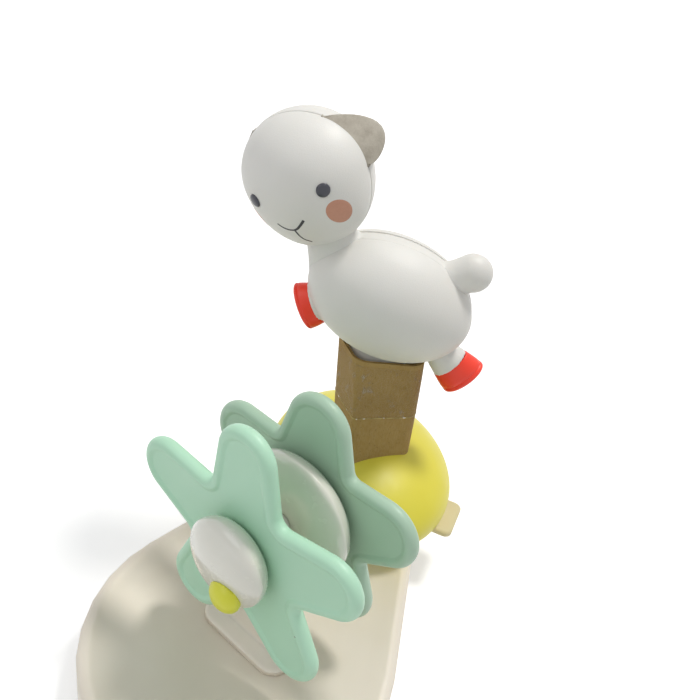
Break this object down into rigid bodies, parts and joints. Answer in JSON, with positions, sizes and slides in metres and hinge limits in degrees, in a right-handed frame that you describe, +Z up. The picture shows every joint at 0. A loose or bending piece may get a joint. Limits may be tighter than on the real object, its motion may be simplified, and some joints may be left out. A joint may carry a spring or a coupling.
{
  "type": "baby activity tray",
  "caption": "Activity tray for a baby with a rocking lamb on a sprung post and two star-shaped flowers that spin on one axle",
  "frame": {"origin": "on the axis of the lamb's post, in the plane of the feet that it stands on", "axes": "+Z is up, +X runs from the lamb's chest to its tail, and -Y is the side that the child sits on"},
  "size_m": [0.178, 0.2408, 0.2486],
  "materials": {
    "cream_plastic": "satin moulded plastic",
    "yellow_plastic": "satin moulded plastic",
    "mint_plastic": "satin moulded plastic",
    "white_plastic": "satin moulded plastic with a fine grain",
    "gloss_white_plastic": "glossy moulded plastic",
    "orange_plastic": "satin moulded plastic",
    "dark_plastic": "satin moulded plastic",
    "grey_felt": "pressed felt",
    "brown_card": "corrugated card",
    "grey_rubber": "matte rubber",
    "steel": "plated steel",
    "nylon": "plain nylon"
  },
  "bodies": {
    "station": {"bun_base": "cream_plastic", "bun_cover": "yellow_plastic", "flower_axle": "steel", "flower_stand": "cream_plastic", "foot_1": "grey_rubber", "foot_2": "grey_rubber", "foot_3": "grey_rubber", "foot_4": "grey_rubber", "foot_5": "grey_rubber", "foot_6": "grey_rubber", "near_spacer": "nylon", "packing_sleeve": "brown_card", "rear_cap": "cream_plastic", "rear_spacer": "nylon", "stalk_post": "white_plastic", "tray_base": "cream_plastic", "tray_screw_1": "steel", "tray_screw_2": "steel", "tray_screw_3": "steel", "tray_screw_4": "steel", "tray_top": "cream_plastic"},
    "spring": {"sway_spring": "steel"},
    "lamb": {"body_core": "white_plastic", "body_shell_near": "white_plastic", "body_shell_far": "white_plastic", "front_hoof": "orange_plastic", "hind_hoof": "orange_plastic", "belly_collar": "white_plastic", "neck_pin": "steel"},
    "head": {"head_front": "white_plastic", "head_back": "white_plastic", "ear_left": "grey_felt", "ear_right": "grey_felt", "eye_left": "dark_plastic", "eye_right": "dark_plastic"},
    "rear_flower": {"rear_flower_petals": "mint_plastic", "rear_flower_dome": "gloss_white_plastic", "rear_flower_bush": "nylon"},
    "near_flower": {"near_flower_petals": "mint_plastic", "near_flower_dome": "gloss_white_plastic", "near_flower_bush": "nylon", "near_flower_knob": "yellow_plastic"},
    "latch": {"latch_tab": "cream_plastic"}
  },
  "joints": [
    {"name": "sway_along", "type": "hinge", "parent": "station", "child": "spring", "pos_m": [0, 0, 0.1013], "axis": [0, 1, 0], "range_deg": [-2.5, 2.5], "stiffness_Nm_per_rad": 6},
    {"name": "sway_across", "type": "hinge", "parent": "spring", "child": "lamb", "pos_m": [0, 0, 0.1227], "axis": [1, 0, 0], "range_deg": [-2.5, 2.5], "stiffness_Nm_per_rad": 6},
    {"name": "head_turn", "type": "hinge", "parent": "lamb", "child": "head", "pos_m": [-0.0386, 0, 0.1936], "axis": [-0.454, 0, 0.891], "range_deg": [-25, 25]},
    {"name": "rear_flower_spin", "type": "hinge", "parent": "station", "child": "rear_flower", "pos_m": [-0.0226, -0.0826, 0.1014], "axis": [-0.5534, -0.8329, 0], "continuous": true},
    {"name": "near_flower_spin", "type": "hinge", "parent": "station", "child": "near_flower", "pos_m": [-0.04446, -0.1155, 0.1014], "axis": [-0.5534, -0.8329, 0], "continuous": true},
    {"name": "latch_slide", "type": "slide", "parent": "station", "child": "latch", "axis": [0.9641, -0.2656, 0], "range_m": [0, 0.004]}
  ]
}
